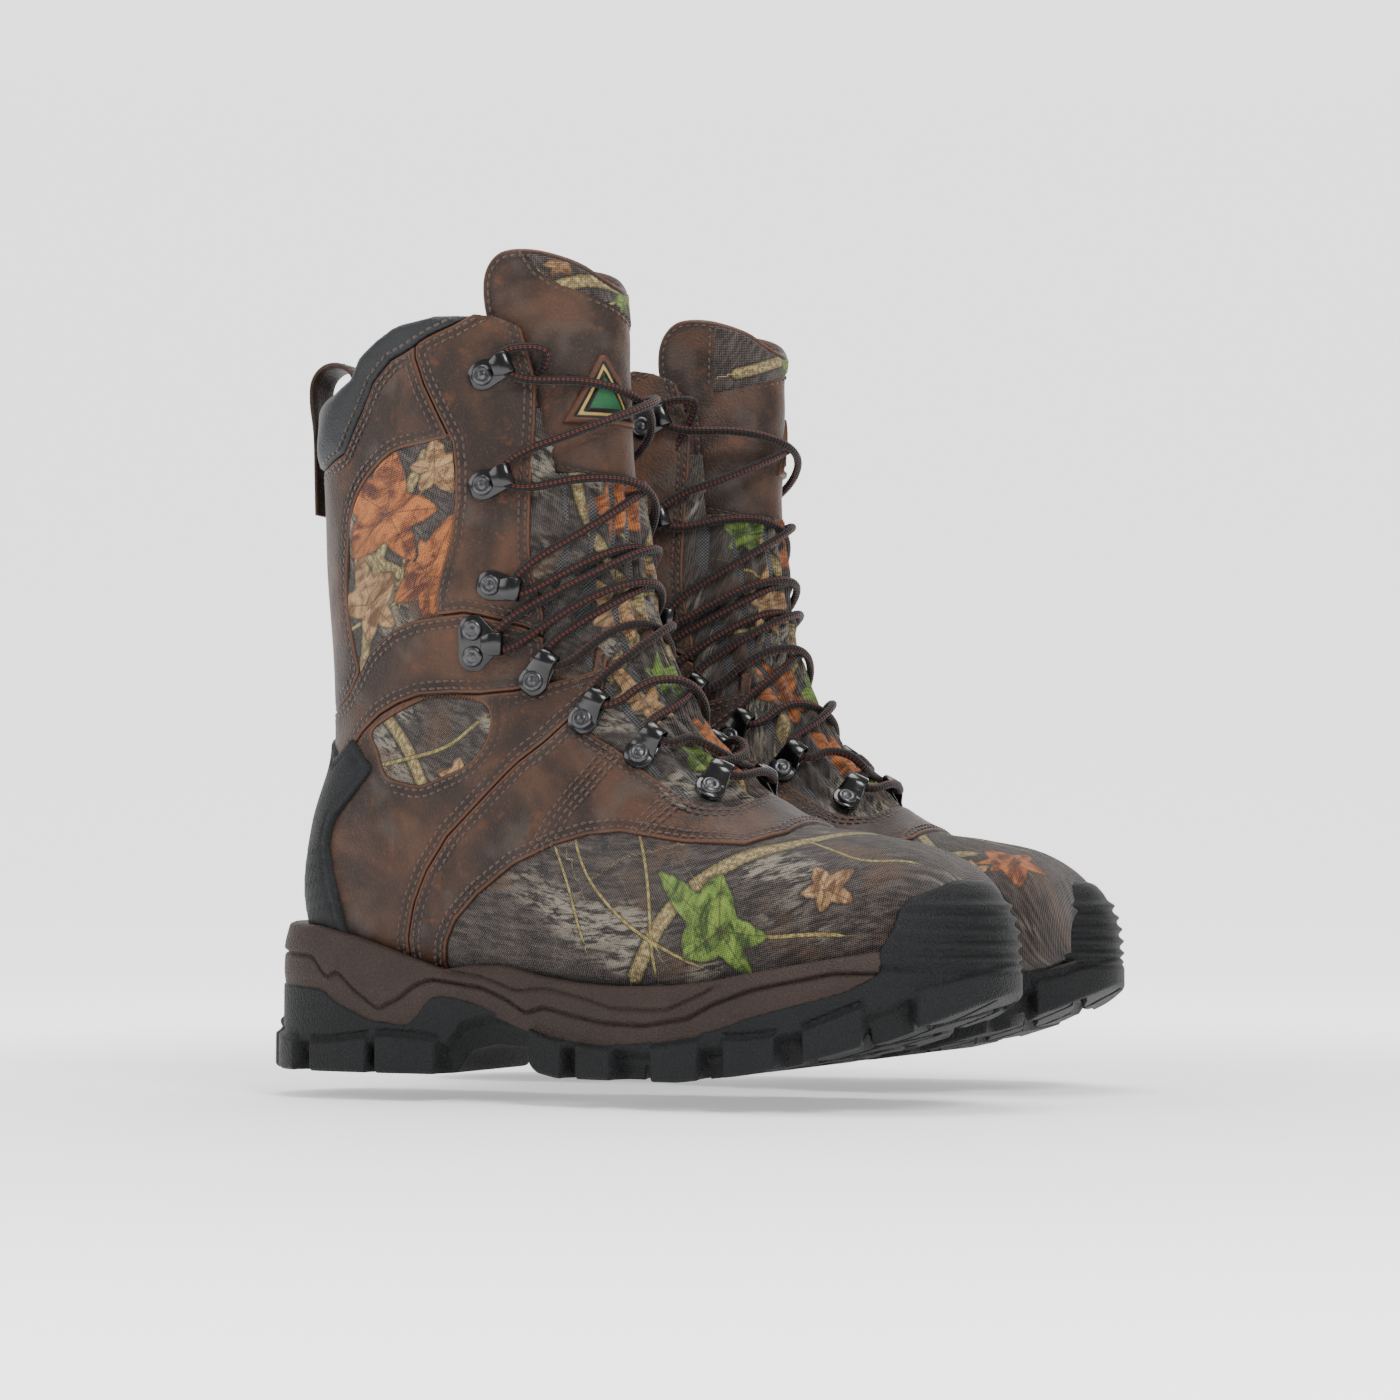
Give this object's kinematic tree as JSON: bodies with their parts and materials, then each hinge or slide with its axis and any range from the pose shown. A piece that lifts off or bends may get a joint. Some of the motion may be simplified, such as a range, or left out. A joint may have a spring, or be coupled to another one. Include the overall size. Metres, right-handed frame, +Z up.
{
  "type": "insulated hunting boots",
  "caption": "Pair of tall laced insulated boots with leather and camouflage panels, padded collar, hooks and loops, lugged soles with toe bumpers.",
  "frame": {"origin": "centre of the pair's footprint on the floor", "axes": "+Z up, toes towards -Y, right boot on -X"},
  "size_m": [0.2572, 0.3163, 0.325],
  "materials": {
    "outsole_rubber": "matt moulded",
    "midsole_rubber": "matt pebbled",
    "shank_steel": "plain",
    "board": "fibreboard",
    "footbed_foam": "knit over foam",
    "stabiliser_rubber": "matt moulded",
    "counter_plastic": "plain",
    "camo_nylon": "printed woven nylon",
    "brown_leather": "oiled, double stitched",
    "black_collar": "smooth padded",
    "liner_fabric": "knit",
    "badge_rubber": "moulded",
    "black_enamel": "gloss black",
    "rivet_metal": "dark plated",
    "lace_cord": "braided",
    "aglet_plastic": "plain"
  },
  "bodies": {
    "right_boot": {"right_outsole": "outsole_rubber", "right_midsole": "midsole_rubber", "right_shank": "shank_steel", "right_insole_board": "board", "right_heel_stabiliser": "stabiliser_rubber", "right_heel_counter": "counter_plastic", "right_vamp_fabric": "camo_nylon", "right_quarter_leather": "brown_leather", "right_heel_quarter": "brown_leather", "right_ankle_window": "camo_nylon", "right_ankle_band": "brown_leather", "right_eyestay": "brown_leather", "right_shaft_panel": "camo_nylon", "right_collar_leather": "brown_leather", "right_collar_pad": "black_collar", "right_pull_loop": "brown_leather", "right_liner": "liner_fabric", "right_tongue_gusset": "camo_nylon", "right_tongue_shield": "brown_leather", "right_tongue_badge": "badge_rubber", "right_lace_hooks": "black_enamel", "right_lock_hooks": "black_enamel", "right_lace_loops": "black_enamel", "right_rivets": "rivet_metal", "right_laces": "lace_cord", "right_aglets": "aglet_plastic"},
    "right_footbed_body": {"right_footbed": "footbed_foam"},
    "right_flap_body": {"right_tongue_flap": "brown_leather", "right_tongue_patch": "camo_nylon"},
    "left_boot": {"left_outsole": "outsole_rubber", "left_midsole": "midsole_rubber", "left_shank": "shank_steel", "left_insole_board": "board", "left_heel_stabiliser": "stabiliser_rubber", "left_heel_counter": "counter_plastic", "left_vamp_fabric": "camo_nylon", "left_quarter_leather": "brown_leather", "left_heel_quarter": "brown_leather", "left_ankle_window": "camo_nylon", "left_ankle_band": "brown_leather", "left_eyestay": "brown_leather", "left_shaft_panel": "camo_nylon", "left_collar_leather": "brown_leather", "left_collar_pad": "black_collar", "left_pull_loop": "brown_leather", "left_liner": "liner_fabric", "left_tongue_gusset": "camo_nylon", "left_tongue_shield": "brown_leather", "left_tongue_badge": "badge_rubber", "left_lace_hooks": "black_enamel", "left_lock_hooks": "black_enamel", "left_lace_loops": "black_enamel", "left_rivets": "rivet_metal", "left_laces": "lace_cord", "left_aglets": "aglet_plastic"},
    "left_footbed_body": {"left_footbed": "footbed_foam"},
    "left_flap_body": {"left_tongue_flap": "brown_leather", "left_tongue_patch": "camo_nylon"}
  },
  "joints": [
    {"name": "left_boot_lift", "type": "slide", "parent": "right_boot", "child": "left_boot", "axis": [0, 0, 1], "range_m": [0, 0.3]},
    {"name": "right_footbed_lift", "type": "slide", "parent": "right_boot", "child": "right_footbed_body", "axis": [0, 0, 1], "range_m": [0, 0.005]},
    {"name": "right_tongue_fold", "type": "hinge", "parent": "right_boot", "child": "right_flap_body", "pos_m": [-0.0714, -0.005, 0.284], "axis": [1, 0, 0], "range_deg": [0, 25]},
    {"name": "left_footbed_lift", "type": "slide", "parent": "left_boot", "child": "left_footbed_body", "axis": [0, 0, 1], "range_m": [0, 0.005]},
    {"name": "left_tongue_fold", "type": "hinge", "parent": "left_boot", "child": "left_flap_body", "pos_m": [0.0714, -0.005, 0.284], "axis": [1, 0, 0], "range_deg": [0, 25]}
  ]
}
